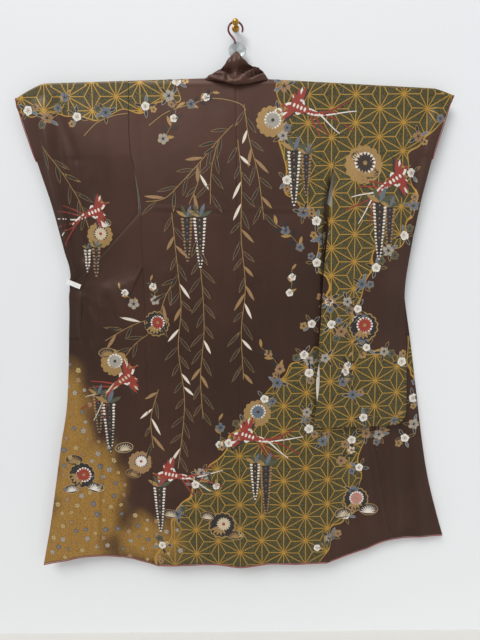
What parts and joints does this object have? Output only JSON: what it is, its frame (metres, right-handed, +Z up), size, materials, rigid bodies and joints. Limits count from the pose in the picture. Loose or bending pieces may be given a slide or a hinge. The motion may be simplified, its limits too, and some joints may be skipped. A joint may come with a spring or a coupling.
{
  "type": "hanging kimono on a rod hanger and wall hook",
  "caption": "Long-sleeved kimono hung back outwards on a rod hanger from a wall hook, its fronts drawn out to the sides and a small clip on one edge.",
  "frame": {"origin": "centre of the flat back of the wall hook's plate, where it meets the wall", "axes": "+Z up, +Y into the wall, +X to the right as one faces the wall; the garment hangs at negative Y"},
  "size_m": [1.3763, 0.0718, 1.7663],
  "materials": {
    "silk": "printed silk crepe",
    "red_lining": "plain silk",
    "rod_steel": "polished tube",
    "coated_wire": "gloss coat",
    "clear_plastic": "clear grey",
    "hook_brass": "polished",
    "clip_plastic": "white"
  },
  "bodies": {
    "root": {"body_left": "silk", "body_right": "silk", "sleeve_left": "silk", "sleeve_right": "silk", "okumi_left": "silk", "okumi_right": "silk", "collar": "silk", "hem_roll": "red_lining", "mouth_roll_left": "red_lining", "mouth_roll_right": "red_lining", "rod_left": "rod_steel", "rod_right": "rod_steel", "hanger_hub": "rod_steel", "hanger_hook": "coated_wire", "hanger_disc": "clear_plastic", "wall_hook": "hook_brass", "clip": "clip_plastic"}
  },
  "joints": []
}
